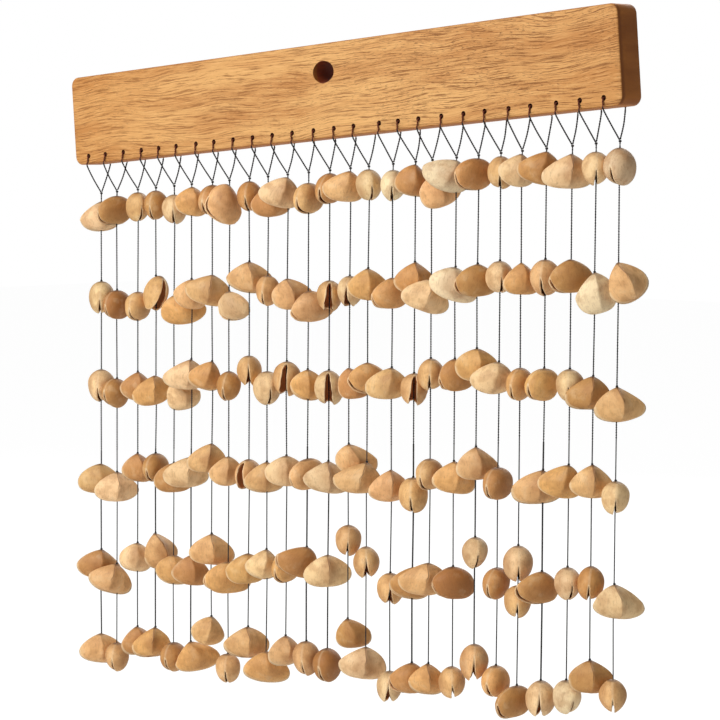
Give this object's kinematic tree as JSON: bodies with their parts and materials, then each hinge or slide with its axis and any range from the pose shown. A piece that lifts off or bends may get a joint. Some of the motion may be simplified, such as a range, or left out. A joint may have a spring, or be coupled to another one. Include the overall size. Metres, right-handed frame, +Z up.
{
  "type": "kenari chimes",
  "caption": "Wooden bar hung by a hole in its middle, with rows of split, hollow nut shells strung on cords that swing below it.",
  "frame": {"origin": "the middle of the hole in the bar that the chimes hang by", "axes": "+Z up, +X along the bar to its right end, seen from the front, and +Y from the front of the bar to its back"},
  "size_m": [0.4846, 0.0321, 0.4577],
  "materials": {
    "bar_wood": "oiled, satin",
    "dark_cord": "twisted cord",
    "nut_shell": "matte, dry shell"
  },
  "bodies": {
    "bar": {"bar": "bar_wood", "loop_01": "dark_cord", "loop_02": "dark_cord", "loop_03": "dark_cord", "loop_04": "dark_cord", "loop_05": "dark_cord", "loop_06": "dark_cord", "loop_07": "dark_cord", "loop_08": "dark_cord", "loop_09": "dark_cord", "loop_10": "dark_cord", "loop_11": "dark_cord", "loop_12": "dark_cord", "loop_13": "dark_cord", "loop_14": "dark_cord", "loop_15": "dark_cord", "loop_16": "dark_cord", "loop_17": "dark_cord", "loop_18": "dark_cord", "loop_19": "dark_cord", "loop_20": "dark_cord", "loop_21": "dark_cord", "loop_22": "dark_cord", "loop_23": "dark_cord", "loop_24": "dark_cord", "loop_25": "dark_cord", "loop_26": "dark_cord"},
    "strand_01": {"strand_01": "nut_shell"},
    "strand_02": {"strand_02": "nut_shell"},
    "strand_03": {"strand_03": "nut_shell"},
    "strand_04": {"strand_04": "nut_shell"},
    "strand_05": {"strand_05": "nut_shell"},
    "strand_06": {"strand_06": "nut_shell"},
    "strand_07": {"strand_07": "nut_shell"},
    "strand_08": {"strand_08": "nut_shell"},
    "strand_09": {"strand_09": "nut_shell"},
    "strand_10": {"strand_10": "nut_shell"},
    "strand_11": {"strand_11": "nut_shell"},
    "strand_12": {"strand_12": "nut_shell"},
    "strand_13": {"strand_13": "nut_shell"},
    "strand_14": {"strand_14": "nut_shell"},
    "strand_15": {"strand_15": "nut_shell"},
    "strand_16": {"strand_16": "nut_shell"},
    "strand_17": {"strand_17": "nut_shell"},
    "strand_18": {"strand_18": "nut_shell"},
    "strand_19": {"strand_19": "nut_shell"},
    "strand_20": {"strand_20": "nut_shell"},
    "strand_21": {"strand_21": "nut_shell"},
    "strand_22": {"strand_22": "nut_shell"},
    "strand_23": {"strand_23": "nut_shell"},
    "strand_24": {"strand_24": "nut_shell"},
    "strand_25": {"strand_25": "nut_shell"},
    "strand_26": {"strand_26": "nut_shell"}
  },
  "joints": [
    {"name": "strand_01_swing", "type": "hinge", "parent": "bar", "child": "strand_01", "pos_m": [-0.22416, 0.004, -0.08255], "axis": [0.9962, 0, 0.0872], "range_deg": [-45, 45]},
    {"name": "strand_02_swing", "type": "hinge", "parent": "bar", "child": "strand_02", "pos_m": [-0.20813, 0.004, -0.08114], "axis": [0.9962, 0, 0.0872], "range_deg": [-45, 45]},
    {"name": "strand_03_swing", "type": "hinge", "parent": "bar", "child": "strand_03", "pos_m": [-0.1871, 0.004, -0.0793], "axis": [0.9962, 0, 0.0872], "range_deg": [-45, 45]},
    {"name": "strand_04_swing", "type": "hinge", "parent": "bar", "child": "strand_04", "pos_m": [-0.16907, 0.004, -0.07773], "axis": [0.9962, 0, 0.0872], "range_deg": [-45, 45]},
    {"name": "strand_05_swing", "type": "hinge", "parent": "bar", "child": "strand_05", "pos_m": [-0.15103, 0.004, -0.07615], "axis": [0.9962, 0, 0.0872], "range_deg": [-45, 45]},
    {"name": "strand_06_swing", "type": "hinge", "parent": "bar", "child": "strand_06", "pos_m": [-0.134, 0.004, -0.07466], "axis": [0.9962, 0, 0.0872], "range_deg": [-45, 45]},
    {"name": "strand_07_swing", "type": "hinge", "parent": "bar", "child": "strand_07", "pos_m": [-0.11397, 0.004, -0.07291], "axis": [0.9962, 0, 0.0872], "range_deg": [-45, 45]},
    {"name": "strand_08_swing", "type": "hinge", "parent": "bar", "child": "strand_08", "pos_m": [-0.09793, 0.004, -0.0715], "axis": [0.9962, 0, 0.0872], "range_deg": [-45, 45]},
    {"name": "strand_09_swing", "type": "hinge", "parent": "bar", "child": "strand_09", "pos_m": [-0.0789, 0.004, -0.06984], "axis": [0.9962, 0, 0.0872], "range_deg": [-45, 45]},
    {"name": "strand_10_swing", "type": "hinge", "parent": "bar", "child": "strand_10", "pos_m": [-0.06187, 0.004, -0.06835], "axis": [0.9962, 0, 0.0872], "range_deg": [-45, 45]},
    {"name": "strand_11_swing", "type": "hinge", "parent": "bar", "child": "strand_11", "pos_m": [-0.04384, 0.004, -0.06677], "axis": [0.9962, 0, 0.0872], "range_deg": [-45, 45]},
    {"name": "strand_12_swing", "type": "hinge", "parent": "bar", "child": "strand_12", "pos_m": [-0.02481, 0.004, -0.06511], "axis": [0.9962, 0, 0.0872], "range_deg": [-45, 45]},
    {"name": "strand_13_swing", "type": "hinge", "parent": "bar", "child": "strand_13", "pos_m": [-0.00578, 0.004, -0.06344], "axis": [0.9962, 0, 0.0872], "range_deg": [-45, 45]},
    {"name": "strand_14_swing", "type": "hinge", "parent": "bar", "child": "strand_14", "pos_m": [0.01225, 0.004, -0.06186], "axis": [0.9962, 0, 0.0872], "range_deg": [-45, 45]},
    {"name": "strand_15_swing", "type": "hinge", "parent": "bar", "child": "strand_15", "pos_m": [0.02828, 0.004, -0.06046], "axis": [0.9962, 0, 0.0872], "range_deg": [-45, 45]},
    {"name": "strand_16_swing", "type": "hinge", "parent": "bar", "child": "strand_16", "pos_m": [0.0493, 0.004, -0.05862], "axis": [0.9962, 0, 0.0872], "range_deg": [-45, 45]},
    {"name": "strand_17_swing", "type": "hinge", "parent": "bar", "child": "strand_17", "pos_m": [0.06834, 0.004, -0.05696], "axis": [0.9962, 0, 0.0872], "range_deg": [-45, 45]},
    {"name": "strand_18_swing", "type": "hinge", "parent": "bar", "child": "strand_18", "pos_m": [0.08237, 0.004, -0.05573], "axis": [0.9962, 0, 0.0872], "range_deg": [-45, 45]},
    {"name": "strand_19_swing", "type": "hinge", "parent": "bar", "child": "strand_19", "pos_m": [0.1024, 0.004, -0.05398], "axis": [0.9962, 0, 0.0872], "range_deg": [-45, 45]},
    {"name": "strand_20_swing", "type": "hinge", "parent": "bar", "child": "strand_20", "pos_m": [0.12043, 0.004, -0.0524], "axis": [0.9962, 0, 0.0872], "range_deg": [-45, 45]},
    {"name": "strand_21_swing", "type": "hinge", "parent": "bar", "child": "strand_21", "pos_m": [0.13847, 0.004, -0.05082], "axis": [0.9962, 0, 0.0872], "range_deg": [-45, 45]},
    {"name": "strand_22_swing", "type": "hinge", "parent": "bar", "child": "strand_22", "pos_m": [0.15549, 0.004, -0.04933], "axis": [0.9962, 0, 0.0872], "range_deg": [-45, 45]},
    {"name": "strand_23_swing", "type": "hinge", "parent": "bar", "child": "strand_23", "pos_m": [0.17453, 0.004, -0.04767], "axis": [0.9962, 0, 0.0872], "range_deg": [-45, 45]},
    {"name": "strand_24_swing", "type": "hinge", "parent": "bar", "child": "strand_24", "pos_m": [0.19455, 0.004, -0.04591], "axis": [0.9962, 0, 0.0872], "range_deg": [-45, 45]},
    {"name": "strand_25_swing", "type": "hinge", "parent": "bar", "child": "strand_25", "pos_m": [0.21258, 0.004, -0.04434], "axis": [0.9962, 0, 0.0872], "range_deg": [-45, 45]},
    {"name": "strand_26_swing", "type": "hinge", "parent": "bar", "child": "strand_26", "pos_m": [0.23061, 0.004, -0.04276], "axis": [0.9962, 0, 0.0872], "range_deg": [-45, 45]}
  ],
  "couplings": [
    {"joint": "strand_01_swing", "follows": "strand_13_swing", "ratio": 1},
    {"joint": "strand_02_swing", "follows": "strand_13_swing", "ratio": 1},
    {"joint": "strand_03_swing", "follows": "strand_13_swing", "ratio": 1},
    {"joint": "strand_04_swing", "follows": "strand_13_swing", "ratio": 1},
    {"joint": "strand_05_swing", "follows": "strand_13_swing", "ratio": 1},
    {"joint": "strand_06_swing", "follows": "strand_13_swing", "ratio": 1},
    {"joint": "strand_07_swing", "follows": "strand_13_swing", "ratio": 1},
    {"joint": "strand_08_swing", "follows": "strand_13_swing", "ratio": 1},
    {"joint": "strand_09_swing", "follows": "strand_13_swing", "ratio": 1},
    {"joint": "strand_10_swing", "follows": "strand_13_swing", "ratio": 1},
    {"joint": "strand_11_swing", "follows": "strand_13_swing", "ratio": 1},
    {"joint": "strand_12_swing", "follows": "strand_13_swing", "ratio": 1},
    {"joint": "strand_14_swing", "follows": "strand_13_swing", "ratio": 1},
    {"joint": "strand_15_swing", "follows": "strand_13_swing", "ratio": 1},
    {"joint": "strand_16_swing", "follows": "strand_13_swing", "ratio": 1},
    {"joint": "strand_17_swing", "follows": "strand_13_swing", "ratio": 1},
    {"joint": "strand_18_swing", "follows": "strand_13_swing", "ratio": 1},
    {"joint": "strand_19_swing", "follows": "strand_13_swing", "ratio": 1},
    {"joint": "strand_20_swing", "follows": "strand_13_swing", "ratio": 1},
    {"joint": "strand_21_swing", "follows": "strand_13_swing", "ratio": 1},
    {"joint": "strand_22_swing", "follows": "strand_13_swing", "ratio": 1},
    {"joint": "strand_23_swing", "follows": "strand_13_swing", "ratio": 1},
    {"joint": "strand_24_swing", "follows": "strand_13_swing", "ratio": 1},
    {"joint": "strand_25_swing", "follows": "strand_13_swing", "ratio": 1},
    {"joint": "strand_26_swing", "follows": "strand_13_swing", "ratio": 1}
  ]
}
